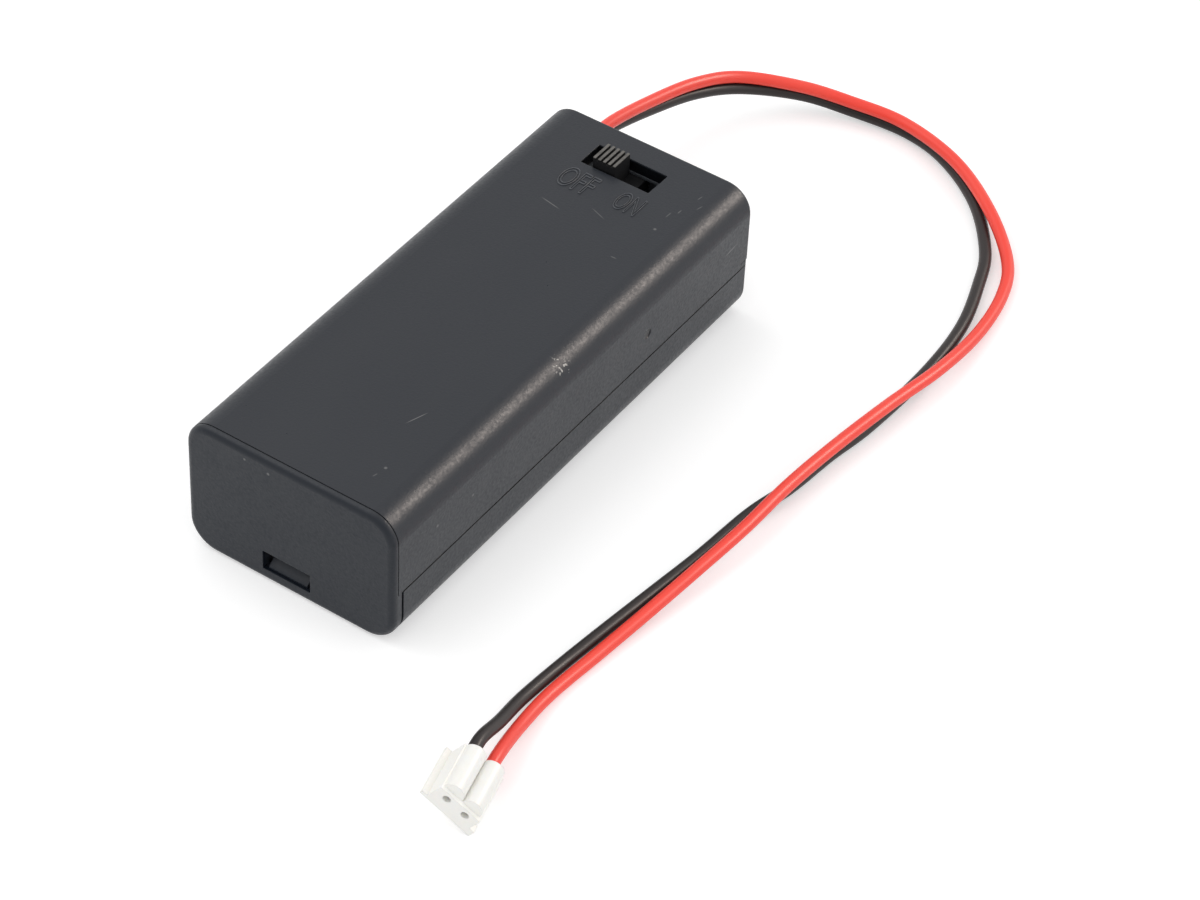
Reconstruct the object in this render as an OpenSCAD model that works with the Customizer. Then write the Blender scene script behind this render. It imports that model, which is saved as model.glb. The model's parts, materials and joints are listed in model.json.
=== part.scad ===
// Covered holder for two small round cells, with a slide switch and a two-way lead.
// Millimetres. X runs across the box, Y along it with the latch end at -Y, Z up.
// The box stands on z = 0, centred on the origin in X and Y.

/* [Cells] */
// Diameter of one cell
cell_d = 10.5; // [10:0.1:10.7]
// Length of one cell with its button
cell_l = 44.5; // [43.5:0.1:45.2]
// Clear room round a cell in its seat
cell_clear = 0.15; // [0.1:0.05:0.3]

/* [Box] */
// Length over both ends
box_l = 67.3; // [66.5:0.1:72]
// Width over the sides
box_w = 27.3; // [26.8:0.1:32]
// Height from the floor to the top face
box_h = 17.7; // [17.5:0.1:20]
// Thickness of the side and rear walls
wall = 1.5; // [1.4:0.05:1.6]
// Length of the switch room behind the bays
rear_room = 11; // [10.5:0.1:12]
// Thickness of the top wall
top_wall = 1.6; // [1.4:0.1:1.8]
// Thickness of the cover's floor
cover_floor = 1.5; // [1.2:0.1:1.7]
// Radius of the long top edges
top_r = 3.3; // [2.2:0.1:4]
// Radius of the long bottom edges
bottom_r = 3.6; // [2.2:0.1:4]
// Height of the side seam between the shell and the cover
seam_z = 7.15; // [6.6:0.05:7.6]
// Height of the lap joint inside the seam
lap_h = 0.8; // [0.5:0.1:1]
// Open gap along the seam
seam_gap = 0.1; // [0.06:0.02:0.2]
// Thickness of the latch end plate
end_plate = 1.45; // [1.2:0.05:1.7]
// Edge round of the latch end plate
end_round = 0.8; // [0.3:0.1:1]
// Gap between the end plate and the cover
end_gap = 0.35; // [0.2:0.05:0.45]
// Edge round of the rear wall
rear_round = 0.4; // [0.2:0.05:0.6]
// Inset of the cover's rear wall
rear_inset = 0.15; // [0.05:0.05:0.3]
// Width and depth of the parting groove behind the end plate's edge
groove = 0.14; // [0.08:0.02:0.2]

/* [Latch] */
// Width of the latch window
window_w = 6.3; // [5:0.1:8]
// Height of the latch window
window_h = 2.6; // [2.2:0.1:3]
// Height of the window's sill above the floor
window_z = 1.65; // [1.2:0.05:1.8]
// Place of the window across the end, from the middle
window_x = -0.45; // [-3:0.05:3]
// Side clearance of the latch nib in the window
nib_clear = 0.6; // [0.3:0.1:1]
// Depth of the nib's nose behind the outer face
nib_recess = 0.3; // [0.1:0.05:0.6]

/* [Cover hooks] */
// Distance between the two rear hooks
hook_pitch = 10.4; // [9:0.2:13]
// Width of one hook
hook_w = 3; // [2:0.2:3.6]
// Height of a hook above the rear seam
hook_rise = 1.5; // [1.3:0.1:1.6]
// Bite of a hook's bead in its pocket
hook_bead = 0.3; // [0.2:0.02:0.32]

/* [Contacts] */
// Thickness of the contact plates
plate_t = 0.3; // [0.2:0.05:0.4]
// Height of the contact plates
plate_h = 9.6; // [8:0.2:10]
// Wire thickness of the coil springs
coil_wire = 0.55; // [0.4:0.05:0.65]
// Free length of the coil springs
coil_l = 6.5; // [5.5:0.1:7]
// Outer diameter of a spring's base turn
coil_base_d = 7; // [6:0.2:7.6]
// Outer diameter of a spring's last turn
coil_tip_d = 4.4; // [4:0.2:5]
// Number of working turns
coil_turns = 5; // [4:1:6]

/* [Switch] */
// Travel of the knob between its two places
switch_travel = 3.5; // [3.2:0.1:3.7]
// Length of the knob along its travel
knob_l = 3; // [2.6:0.1:3.4]
// Width of the knob
knob_w = 3; // [2.4:0.1:3.2]
// Height of the knob above the top face
knob_rise = 1.1; // [0.6:0.1:1.5]
// Number of grip ribs on the knob
knob_ribs = 5; // [3:1:5]
// Room between the knob and the slot's end
slot_end_clear = 1.4; // [1.1:0.1:1.5]
// Room between the knob and the slot's side
slot_side_clear = 0.4; // [0.2:0.05:0.6]
// Distance from the rear face to the middle of the slot
slot_back = 5.55; // [5.4:0.05:5.8]
// Place of the slot across the box, from the middle
slot_x = -0.15; // [-0.5:0.05:0.5]
// Length of the switch case
case_l = 13; // [12.8:0.1:13.6]
// Width of the switch case
case_w = 6.3; // [6:0.1:6.4]
// Height of the switch case
case_h = 5.6; // [5.4:0.1:6]
// Thickness of the case's sheet steel
case_t = 0.35; // [0.25:0.05:0.4]

/* [Lead] */
// Outer diameter of one wire
wire_d = 1.5; // [1.2:0.1:1.5]
// Distance between the two ways of the plug
plug_pitch = 2.5; // [2.5:0.1:3]
// Length of the plug housing
plug_l = 6.4; // [6.2:0.1:9]
// Height of the plug housing
plug_h = 4; // [3.8:0.1:4.4]
// Reach of the plug's side wings
plug_wing = 0.7; // [0.4:0.1:0.9]

/* [Hidden] */
$fn = 48;

// Outer planes and inner faces
front_y = -box_l / 2;
rear_y = box_l / 2;
half_w = box_w / 2;
inner_x = half_w - wall;
ceiling_z = box_h - top_wall;
rear_seam_z = seam_z + lap_h;
cover_front_y = front_y + end_plate + end_gap;
cover_front_t = 1.2;
rear_inner_y = rear_y - wall;
shell_colour = [0.14, 0.14, 0.15];
steel_colour = [0.78, 0.78, 0.76];
brass_colour = [0.80, 0.66, 0.36];

// Bays: one cell on each side of the divider
divider = 1.2;
cell_x = (divider / 2 + inner_x) / 2;
pad_h = 2.1;
cell_z = cover_floor + pad_h + cell_d / 2;
seat_r = cell_d / 2 + cell_clear;
contact_gap = 0.2;
bay_front_y = cover_front_y + cover_front_t + contact_gap + plate_t;
bulkhead_t = 1.4;
bulkhead_back_y = rear_inner_y - rear_room;
bulkhead_y = bulkhead_back_y - bulkhead_t;
bay_rear_y = bulkhead_y - plate_t;
bay_mid_y = (bay_front_y + bay_rear_y) / 2;
bay_edge_x = inner_x - 0.4;
plate_z = ceiling_z - 1.1 - plate_h;

// Switch: the case hangs under the top wall, on the slot's middle
slot_y = rear_y - slot_back;
slot_l = knob_l + switch_travel + 2 * slot_end_clear;
slot_w = knob_w + 2 * slot_side_clear;
case_z = ceiling_z - case_h;
knob_off_x = slot_x - switch_travel / 2;
slider_l = knob_l + 4;
slider_w = case_w - 2 * case_t - 0.5;
slider_h = 1.5;
slider_z = ceiling_z - case_t - 0.1 - slider_h;
base_h = 1.2;
base_z = case_z + case_t;
terminal_w = 1.5;
terminal_t = 0.5;
terminal_leg = 3.1;
terminal_top_z = base_z + base_h + 0.5;
terminal_low_z = case_z - terminal_leg;

// Solder tabs of the rear plates, run through slots in the bulkhead
tab_w = 2.4;
tab_x = cell_x + 2.2;
tab_z = cell_z + 0.6;
tab_reach = 1.6;
tab_end_y = bulkhead_back_y + tab_reach;

// Wire outlet in the rear wall, above the cover's rear wall
outlet_x = -10.4;
outlet_w = 3.2;
outlet_h = 3.2;

// ---------------------------------------------------------------- helpers

// Rounded rectangle standing in the X-Z plane, drawn as X-Y
module outline(hw, low, high, r_low, r_high) {
    r = max(r_low, r_high);
    translate([r - hw, low]) square([2 * (hw - r), high - low]);
    translate([-hw, low + r_low]) square([2 * hw, high - low - r_low - r_high]);
    for (s = [-1, 1]) {
        translate([s * (hw - r_low), low + r_low]) circle(r_low);
        translate([s * (hw - r_high), high - r_high]) circle(r_high);
        if (r_low < r) translate([s * (hw - r) - (s < 0 ? r - r_low : 0), low])
            square([r - r_low, r_low]);
        if (r_high < r) translate([s * (hw - r) - (s < 0 ? r - r_high : 0), high - r_high])
            square([r - r_high, r_high]);
    }
}

// Runs a flat outline drawn in X and Z along Y from y0 to y1
module along_y(y0, y1) {
    translate([0, y1, 0]) rotate([90, 0, 0]) linear_extrude(y1 - y0) children();
}

// Block given by its low and high corners
module block(a, b) {
    translate(a) cube([b[0] - a[0], b[1] - a[1], b[2] - a[2]]);
}

// Edge section of an end plate: square with its outer front corner rounded
module edge_section(depth, t, e) {
    square([depth, t - e]);
    square([depth - e, t]);
    translate([depth - e, t - e]) circle(e);
}

// Full end plate, its outer face towards -Y at y = 0, with every edge rounded by e
module round_plate(t, e) {
    r = max(top_r, bottom_r);
    translate([0, t, 0]) rotate([90, 0, 0]) {
        translate([r - half_w, bottom_r, 0]) cube([box_w - 2 * r, box_h - bottom_r - top_r, t]);
        for (q = [[0, top_r], [90, top_r], [180, bottom_r], [270, bottom_r]])
            translate([
                (q[0] == 0 || q[0] == 270 ? 1 : -1) * (half_w - q[1]),
                q[0] < 180 ? box_h - q[1] : q[1], 0
            ])
                rotate([0, 0, q[0]]) rotate_extrude(angle = 90) edge_section(q[1], t, e);
        for (s = [0, 1]) mirror([s, 0, 0])
            translate([half_w - r, box_h - top_r, 0]) rotate([90, 0, 0])
                linear_extrude(box_h - top_r - bottom_r) edge_section(r, t, e);
        edge_bar(box_w - 2 * top_r, box_h - top_r, top_r, t, e);
        translate([0, bottom_r, 0]) mirror([0, 1, 0]) edge_bar(box_w - 2 * bottom_r, 0, bottom_r, t, e);
    }
}

// Straight rounded bar along a long edge of an end plate
module edge_bar(length, at, depth, t, e) {
    translate([-length / 2, at, 0]) rotate([90, 0, 90]) linear_extrude(length)
        edge_section(depth, t, e);
}

// Keeps what lies above (side = 1) or below (side = -1) a height
module trim_z(z, side) {
    intersection() {
        children();
        translate([-box_w, -box_l, side > 0 ? z : z - 3 * box_h])
            cube([2 * box_w, 2 * box_l, 3 * box_h]);
    }
}

// ---------------------------------------------------------------- round tubes

function unit(v) = v / norm(v);
function spline(a, b, c, d, t) =
    0.5 * (2 * b + (c - a) * t + (2 * a - 5 * b + 4 * c - d) * t * t
        + (3 * b - a - 3 * c + d) * t * t * t);
function pick(p, i) = i < 0 ? 2 * p[0] - p[1]
    : i >= len(p) ? 2 * p[len(p) - 1] - p[len(p) - 2] : p[i];
function on_route(p, s) =
    let (i = min(floor(s), len(p) - 2))
    spline(pick(p, i - 1), pick(p, i), pick(p, i + 1), pick(p, i + 2), s - i);

// Tube swept along a list of centre points, with flat ends
module tube(path, d, sides = 8) {
    n = len(path);
    dir = [for (i = [0:n - 1]) unit(path[min(i + 1, n - 1)] - path[max(i - 1, 0)])];
    points = [for (i = [0:n - 1]) let (
            across = unit(cross(dir[i], abs(dir[i][2]) > 0.9 ? [0, 1, 0] : [0, 0, 1])),
            up = cross(across, dir[i])
        ) for (k = [0:sides - 1])
            path[i] + d / 2 * (cos((k + 0.5) * 360 / sides) * across
                + sin((k + 0.5) * 360 / sides) * up)];
    faces = concat(
        [[for (k = [0:sides - 1]) k]],
        [for (i = [0:n - 2], k = [0:sides - 1]) let (m = (k + 1) % sides, a = i * sides)
            [a + k, a + sides + k, a + sides + m, a + m]],
        [[for (k = [sides - 1:-1:0]) (n - 1) * sides + k]]
    );
    polyhedron(points = points, faces = faces, convexity = 6);
}

// ---------------------------------------------------------------- shell

module body_shell() {
    color(shell_colour) difference() {
        union() {
            shell_walls();
            translate([0, front_y, 0]) round_plate(end_plate, end_round);
            trim_z(rear_seam_z + seam_gap / 2, 1)
                translate([0, rear_y, 0]) mirror([0, 1, 0]) round_plate(wall, rear_round);
            divider_and_bulkhead();
            cell_seats();
            contact_guides();
            switch_clips();
        }
        end_groove();
        latch_window();
        switch_slot();
        tab_slots();
        wire_outlet();
        hook_pockets();
    }
}

// Top and side walls, with the inner half of the side walls cut back for the lap joint
module shell_walls() {
    along_y(front_y + end_plate, rear_inner_y) difference() {
        outline(half_w, 0, box_h, bottom_r, top_r);
        outline(inner_x, -box_h, ceiling_z, 0.5, top_r - wall);
        translate([-box_w, -box_h]) square([2 * box_w, box_h + seam_z + seam_gap / 2]);
        translate([-inner_x - wall / 2, 0])
            square([2 * inner_x + wall, rear_seam_z + seam_gap / 2]);
    }
}

module divider_and_bulkhead() {
    sink = 0.3;
    side_room = 0.3;
    join_z = rear_seam_z + 1;
    block([-divider / 2, bay_front_y, seam_z - 1.6],
        [divider / 2, bulkhead_y + sink, ceiling_z + sink]);
    along_y(bulkhead_y, bulkhead_back_y)
        outline(inner_x + sink, rear_seam_z + seam_gap, ceiling_z + sink, 0.2, top_r - wall + sink);
    along_y(bulkhead_y, bulkhead_back_y)
        outline(inner_x - side_room, cover_floor + 2 * side_room, join_z, bottom_r - wall, 0.2);
}

// Three ribs in each bay, hollowed to the round of the cell
module cell_seats() {
    rib_t = 1.2;
    pitch = cell_l / 3;
    for (s = [-1, 1], i = [0:2]) {
        y = bay_mid_y + pitch * (i - 1);
        along_y(y - rib_t / 2, y + rib_t / 2) difference() {
            translate([s > 0 ? 0 : -inner_x - 0.3, cell_z + cell_d / 4])
                square([inner_x + 0.3, ceiling_z + 0.3 - cell_z - cell_d / 4]);
            translate([s * cell_x, cell_z]) circle(seat_r);
            difference() {
                translate([s > 0 ? 0 : -box_w, 0]) square([box_w, 2 * box_h]);
                outline(inner_x + 0.3, 0, ceiling_z + 0.3, 0.5, top_r - wall + 0.3);
            }
        }
    }
}

// Pads that hold the bridge plate off the latch end, and stops behind its two edges
module contact_guides() {
    pad_low = rear_seam_z + seam_gap;
    pad_y = bay_front_y - plate_t;
    for (x = [-cell_x - 2, 2 - cell_x, cell_x - 2, cell_x + 2])
        block([x - 0.6, front_y + end_plate - 0.3, pad_low], [x + 0.6, pad_y, ceiling_z + 0.3]);
    for (s = [-1, 1]) mirror([s < 0 ? 1 : 0, 0, 0])
        block([bay_edge_x - 0.1, bay_front_y, pad_low],
            [inner_x + 0.3, bay_front_y + 0.8, ceiling_z - 1.6]);
}

// Two clips that hold the switch case by its ends
module switch_clips() {
    clip_t = 1.1;
    clip_w = 3.4;
    for (s = [-1, 1]) translate([slot_x, slot_y, 0]) mirror([s < 0 ? 1 : 0, 0, 0]) {
        block([case_l / 2, -clip_w / 2, case_z - 1],
            [case_l / 2 + clip_t, clip_w / 2, ceiling_z + 0.3]);
        along_y(-clip_w / 2, clip_w / 2) polygon([
            [case_l / 2 + 0.2, case_z], [case_l / 2 - 0.5, case_z],
            [case_l / 2 - 0.5, case_z - 0.2], [case_l / 2 + 0.2, case_z - 1]
        ]);
    }
}

// Fine groove round the top and sides, just behind the end plate's rounded edge
module end_groove() {
    y = front_y + end_round;
    along_y(y, y + groove) difference() {
        translate([-box_w, seam_z]) square([2 * box_w, 2 * box_h]);
        outline(half_w - groove, groove, box_h - groove, bottom_r - groove, top_r - groove);
    }
}

module latch_window() {
    block([window_x - window_w / 2, front_y - 1, window_z],
        [window_x + window_w / 2, front_y + end_plate + 1, window_z + window_h]);
}

module switch_slot() {
    block([slot_x - slot_l / 2, slot_y - slot_w / 2, ceiling_z - 0.5],
        [slot_x + slot_l / 2, slot_y + slot_w / 2, box_h + 1]);
}

module tab_slots() {
    for (s = [-1, 1])
        block([s * tab_x - tab_w / 2 - 0.2, bulkhead_y - 0.5, tab_z - 0.2],
            [s * tab_x + tab_w / 2 + 0.2, bulkhead_back_y + 0.5, tab_z + plate_t + 0.2]);
}

module wire_outlet() {
    block([outlet_x - outlet_w / 2, rear_inner_y - 0.5, rear_seam_z - 1],
        [outlet_x + outlet_w / 2, rear_y + 1, rear_seam_z + outlet_h]);
}

module hook_pockets() {
    for (s = [-1, 1])
        block([s * hook_pitch / 2 - hook_w / 2 - 0.3, rear_inner_y - 1, rear_seam_z + 0.85],
            [s * hook_pitch / 2 + hook_w / 2 + 0.3, rear_inner_y + hook_bead + 0.1,
                rear_seam_z + hook_rise + 0.3]);
}

// ---------------------------------------------------------------- cover

module battery_cover() {
    color(shell_colour) {
        difference() {
            cover_tray();
            pry_slit();
        }
        cover_rear_wall();
        cover_laps();
        latch_nib();
        cover_hooks();
        cover_pads();
    }
}

// Floor, side walls and front wall
module cover_tray() {
    top_z = seam_z - seam_gap / 2;
    along_y(cover_front_y, rear_inner_y) difference() {
        outline(half_w, 0, box_h, bottom_r, top_r);
        outline(inner_x, cover_floor, 2 * box_h, bottom_r - wall, 0.5);
        translate([-box_w, top_z]) square([2 * box_w, 2 * box_h]);
    }
    along_y(cover_front_y, cover_front_y + cover_front_t) difference() {
        outline(half_w - 0.4, 0.4, box_h, bottom_r - 0.4, top_r);
        translate([-box_w, top_z]) square([2 * box_w, 2 * box_h]);
    }
}

// Short blind slit in the long bottom edge, for a fingernail
module pry_slit() {
    slit_t = 0.5;
    slit_y = cover_front_y + 3.4;
    block([half_w - 1.5, slit_y, 0.9], [half_w + 1, slit_y + slit_t, 2.3]);
}

module cover_rear_wall() {
    trim_z(rear_seam_z - seam_gap / 2, -1) difference() {
        translate([0, rear_y - rear_inset, 0]) mirror([0, 1, 0]) round_plate(wall, rear_round);
        block([-box_w, 0, -1], [box_w, rear_inner_y, box_h]);
    }
}

// Thin inner laps that stand up behind the shell's side walls
module cover_laps() {
    for (s = [0, 1]) mirror([s, 0, 0])
        block([inner_x, cover_front_y + 1, seam_z - 1],
            [inner_x + wall / 2 - 0.08, rear_inner_y + 0.2, rear_seam_z - seam_gap / 2]);
}

// Wedge on the front wall that snaps into the end plate's window
module latch_nib() {
    w = window_w - 2 * nib_clear;
    nose_y = front_y + nib_recess;
    low_z = window_z + 0.08;
    translate([window_x - w / 2, 0, 0]) rotate([90, 0, 90]) linear_extrude(w) polygon([
        [cover_front_y + 0.5, low_z], [nose_y, low_z], [nose_y, low_z + 0.3],
        [cover_front_y, low_z + 1.5], [cover_front_y + 0.5, low_z + 1.5]
    ]);
}

// Two legs behind the shell's rear wall, each with a bead in a pocket
module cover_hooks() {
    leg_t = 1.1;
    leg_y = rear_inner_y - 0.15;
    top_z = rear_seam_z + hook_rise;
    for (s = [-1, 1])
        translate([s * hook_pitch / 2 - hook_w / 2, 0, 0]) {
            rotate([90, 0, 90]) linear_extrude(hook_w) polygon([
                [leg_y - leg_t, cover_floor + 2.5], [leg_y - leg_t, top_z - 0.3],
                [leg_y - leg_t + 0.3, top_z], [leg_y, top_z],
                [leg_y + hook_bead - 0.1, top_z - 0.15], [leg_y + hook_bead, rear_seam_z + 1],
                [leg_y, rear_seam_z + 0.95], [leg_y, cover_floor + 2.5]
            ]);
            block([0, leg_y - leg_t, cover_floor - 0.3],
                [hook_w, rear_inner_y + 0.3, rear_seam_z - seam_gap / 2 - 0.2]);
        }
}

// Low ribs on the floor that carry the cells
module cover_pads() {
    rib_t = 1.2;
    for (s = [-1, 1], f = [-0.22, 0.22]) {
        y = bay_mid_y + f * cell_l;
        along_y(y - rib_t / 2, y + rib_t / 2) difference() {
            translate([s * cell_x - cell_d / 2, cover_floor - 0.3])
                square([cell_d, pad_h + 0.7]);
            translate([s * cell_x, cell_z]) circle(seat_r);
        }
    }
}

// ---------------------------------------------------------------- switch

// Knob with its grip ribs, stem and the slider inside the case
module switch_knob() {
    rib_h = 0.35;
    rib_w = knob_l / (2 * knob_ribs - 1);
    color([0.30, 0.29, 0.27]) translate([knob_off_x, slot_y, 0]) {
        block([-knob_l / 2, -knob_w / 2, slider_z + slider_h - 0.2],
            [knob_l / 2, knob_w / 2, box_h + knob_rise - rib_h]);
        for (i = [0:knob_ribs - 1]) translate([2 * i * rib_w - knob_l / 2, 0, 0])
            block([0, -knob_w / 2, box_h + knob_rise - rib_h - 0.1],
                [rib_w, knob_w / 2, box_h + knob_rise]);
        difference() {
            block([-slider_l / 2, -slider_w / 2, slider_z],
                [slider_l / 2, slider_w / 2, slider_z + slider_h]);
            block([-slider_l / 2 + 0.4, -slider_w / 2 + 0.9, slider_z - 0.5],
                [slider_l / 2 - 0.4, slider_w / 2 - 0.9, slider_z + 0.8]);
        }
    }
}

// Bent strip carried by the slider, which bridges two neighbouring terminals
module switch_contact() {
    strip = 0.2;
    strip_w = slider_w - 2 * 0.9 - 0.2;
    reach = switch_travel / 2 + 0.35;
    top_z = slider_z + 0.8 - 0.02;
    low_z = terminal_top_z + 0.05;
    half = [
        [reach - 0.6, top_z], [reach - 0.15, low_z + strip], [reach + 0.2, low_z + strip],
        [reach + 0.2, low_z], [reach - 0.3, low_z], [reach - 0.8, top_z - strip]
    ];
    color(brass_colour) translate([knob_off_x, slot_y, 0])
        rotate([90, 0, 0]) linear_extrude(strip_w, center = true)
            polygon(concat(half, [for (i = [len(half) - 1:-1:0]) [-half[i][0], half[i][1]]]));
}

// Folded steel case with a window for the stem and two tabs bent under the base
module switch_case() {
    stem_room = 0.3;
    lug_l = 0.8;
    lug_w = 2.4;
    color([0.16, 0.16, 0.17]) translate([slot_x, slot_y, 0]) {
        difference() {
            block([-case_l / 2, -case_w / 2, case_z], [case_l / 2, case_w / 2, ceiling_z]);
            block([case_t - case_l / 2, case_t - case_w / 2, case_z - 1],
                [case_l / 2 - case_t, case_w / 2 - case_t, ceiling_z - case_t]);
            block([-(knob_l + switch_travel) / 2 - stem_room, -knob_w / 2 - stem_room, case_z],
                [(knob_l + switch_travel) / 2 + stem_room, knob_w / 2 + stem_room, ceiling_z + 1]);
        }
        for (s = [0, 1]) mirror([s, 0, 0])
            block([case_l / 2 - case_t - lug_l, -lug_w / 2, case_z],
                [case_l / 2 - case_t, lug_w / 2, case_z + case_t]);
    }
}

// Moulded base that closes the case and carries the terminals
module switch_base() {
    color([0.10, 0.09, 0.09]) difference() {
        translate([slot_x, slot_y, 0])
            block([case_t - case_l / 2, case_t - case_w / 2, base_z],
                [case_l / 2 - case_t, case_w / 2 - case_t, base_z + base_h]);
        for (i = [-1:1]) terminal_blank(i, 0);
    }
}

module terminal_blank(i, grow) {
    translate([slot_x + i * switch_travel, slot_y, 0])
        block([-terminal_w / 2 - grow, -terminal_t / 2 - grow, terminal_low_z],
            [terminal_w / 2 + grow, terminal_t / 2 + grow, terminal_top_z]);
}

// Blade terminal, pierced near its lower end, with a rounded tip
module switch_terminal(i) {
    eye_z = terminal_low_z + 0.9;
    color(brass_colour) difference() {
        union() {
            intersection() {
                terminal_blank(i, 0);
                block([-box_w, -box_l, terminal_low_z + terminal_w / 2], [box_w, box_l, box_h]);
            }
            translate([slot_x + i * switch_travel, slot_y, terminal_low_z + terminal_w / 2])
                rotate([90, 0, 0]) cylinder(d = terminal_w, h = terminal_t, center = true);
        }
        translate([slot_x + i * switch_travel, slot_y, eye_z])
            rotate([90, 0, 0]) cylinder(d = 0.6, h = 2, center = true);
    }
}

module switch_terminal_off() { switch_terminal(-1); }
module switch_terminal_common() { switch_terminal(0); }
module switch_terminal_on() { switch_terminal(1); }

// ---------------------------------------------------------------- contacts

// Flat plate with rounded corners, its bay face at y
module contact_plate(x0, x1, y) {
    along_y(y, y + plate_t) outline_at((x0 + x1) / 2, (x1 - x0) / 2, plate_z, plate_z + plate_h, 1);
}

module outline_at(x, hw, low, high, r) {
    translate([x, 0]) outline(hw, low, high, r, r);
}

// Round boss pressed out of a plate for the cell's button; side is the way it points in Y
module button_boss(x, y, side) {
    foot_d = 4.6;
    face_d = 3.8;
    translate([x, y, cell_z]) rotate([side > 0 ? -90 : 90, 0, 0])
        cylinder(d1 = foot_d, d2 = face_d, h = 0.5);
}

// Solder tab bent back from a rear plate
module solder_tab(s) {
    block([s * tab_x - tab_w / 2, bay_rear_y, tab_z], [s * tab_x + tab_w / 2, tab_end_y, tab_z + plate_t]);
}

module negative_plate() {
    color(steel_colour) {
        contact_plate(-bay_edge_x, -divider / 2 - 0.1, bay_rear_y);
        solder_tab(-1);
    }
}

module positive_plate() {
    color(steel_colour) {
        contact_plate(divider / 2 + 0.1, bay_edge_x, bay_rear_y);
        button_boss(cell_x, bay_rear_y + 0.01, -1);
        solder_tab(1);
    }
}

module bridge_plate() {
    color(steel_colour) {
        contact_plate(-bay_edge_x, bay_edge_x, bay_front_y - plate_t);
        button_boss(-cell_x, bay_front_y - 0.01, 1);
    }
}

// Cone of round wire: a flat base turn, open working turns and a flat last turn
function coil_height(t, n) =
    t < 0.9 ? 0 : t > n + 1 ? coil_l - coil_wire : (t - 0.9) * (coil_l - coil_wire) / (n + 0.1);
function coil_point(t, n) = let (
        r = (coil_base_d - coil_wire) / 2 - (coil_base_d - coil_tip_d) / 2 * min(t, n + 1) / (n + 1)
    ) [r * cos(360 * t), r * sin(360 * t), coil_wire / 2 + 0.03 + coil_height(t, n)];

module coil(n) {
    steps = 12;
    color(steel_colour)
        tube([for (i = [0:steps * (n + 1.75)]) coil_point(i / steps, n)], coil_wire);
}

module negative_spring() {
    translate([-cell_x, bay_rear_y, cell_z]) rotate([90, 0, 0]) coil(coil_turns);
}

module bridge_spring() {
    translate([cell_x, bay_front_y, cell_z]) rotate([-90, 0, 0]) coil(coil_turns);
}

// ---------------------------------------------------------------- leads

// Ends of the wires inside the box, laid against the tabs and terminals
weld_gap = 0.02;
terminal_front_y = slot_y - terminal_t / 2 - wire_d / 2 - weld_gap;
tab_weld = [tab_x, tab_end_y - 0.7, tab_z - wire_d / 2 - weld_gap];
on_weld = [slot_x + switch_travel, terminal_front_y, terminal_low_z + 0.9];
common_weld = [slot_x, terminal_front_y, terminal_low_z + 0.9];

// Plug: resting on one lower edge, yawed on the floor and rolled onto its red side
plug_pos = [33.1, -47.2, 3.7];
plug_yaw = 13.6;
plug_roll = 38.4;
entry_depth = 1;
function plug_to_box(p) = let (
        x = p[0] * cos(plug_roll) + p[2] * sin(plug_roll),
        z = p[2] * cos(plug_roll) - p[0] * sin(plug_roll)
    ) plug_pos + [
        x * cos(plug_yaw) - p[1] * sin(plug_yaw), x * sin(plug_yaw) + p[1] * cos(plug_yaw), z
    ];
function plug_way(side, back) = plug_to_box([side * plug_pitch / 2, plug_l / 2 + back, 0]);

// Routes: out of the rear wall, round to the right and forward along the floor.
// Their first points keep their distance from the rear wall.
function near_exit(x, back, z) = [x, rear_y - back, z];
red_route = [
    common_weld, near_exit(-3.8, 6.95, 7.9), near_exit(-6.6, 5.85, 8),
    near_exit(-8.6, 3.65, 8.8), near_exit(-9.7, 1.15, 9.8), near_exit(-10.3, -1.85, 10.2),
    near_exit(-11.2, -4.85, 9.9), near_exit(-11.8, -9.35, 9.2), [-11.25, 50.25, 7.9], [-9.75, 58, 6.6], [-7, 63.75, 5.3],
    [-1, 68.25, 3.9], [4.75, 70.5, 2.9], [12, 71.5, 2.4], [20.75, 68.75, 2.6],
    [28.5, 63.75, 2.2], [34.25, 58.25, 1.2], [36.75, 52.75, 0.9], [38, 45, 1.2],
    [38, 36.5, 2], [36.75, 27.75, 2.4], [35.5, 18.5, 2.4], [34.75, 10, 2.4],
    [34.5, 1.75, 2.3], [33.75, -5.75, 1.9], [32.75, -14, 1.3], [31.75, -21.75, 0.8],
    [31, -29.5, 0.8], [31.5, -35.75, 1.6], plug_way(1, 2.5), plug_way(1, -entry_depth)
];
black_route = [
    [-tab_weld[0], tab_weld[1], tab_weld[2]], near_exit(-9, 8.15, 8.2),
    near_exit(-10, 5.15, 8.2), near_exit(-10.9, 2.15, 8.6), near_exit(-10.9, -0.85, 8.8),
    near_exit(-11.8, -4.85, 8.4), near_exit(-12.5, -9.85, 7.5), [-11.5, 51, 6.2],
    [-9.75, 58.25, 4.9], [-6.75, 63.75, 3.7], [-1.25, 68.75, 2.2], [4.5, 71, 1.2],
    [12, 72, 0.8], [18.5, 70.25, 0.8], [25.5, 65.5, 0.8], [31, 58.75, 0.8], [33.5, 53, 0.8],
    [35.75, 45.25, 0.8], [36.5, 36, 0.8], [36, 25, 0.8], [35, 18.25, 0.8], [34.25, 11.25, 0.8],
    [33, 5, 0.8], [32.25, -3.5, 0.8], [31.25, -11.5, 0.8], [30.25, -19.5, 0.8],
    [29.5, -26.25, 0.8], [29.5, -32.75, 1.7], [30.25, -37.75, 3.1],
    plug_way(-1, 2.5), plug_way(-1, -entry_depth)
];

// Wire swept through its route, with rings at even steps of the route
ring_rate = 1.35;
module wire(route) {
    rings = ceil((len(route) - 1) * ring_rate);
    tube([for (i = [0:rings]) on_route(route, i * (len(route) - 1) / rings)], wire_d);
}

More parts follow.
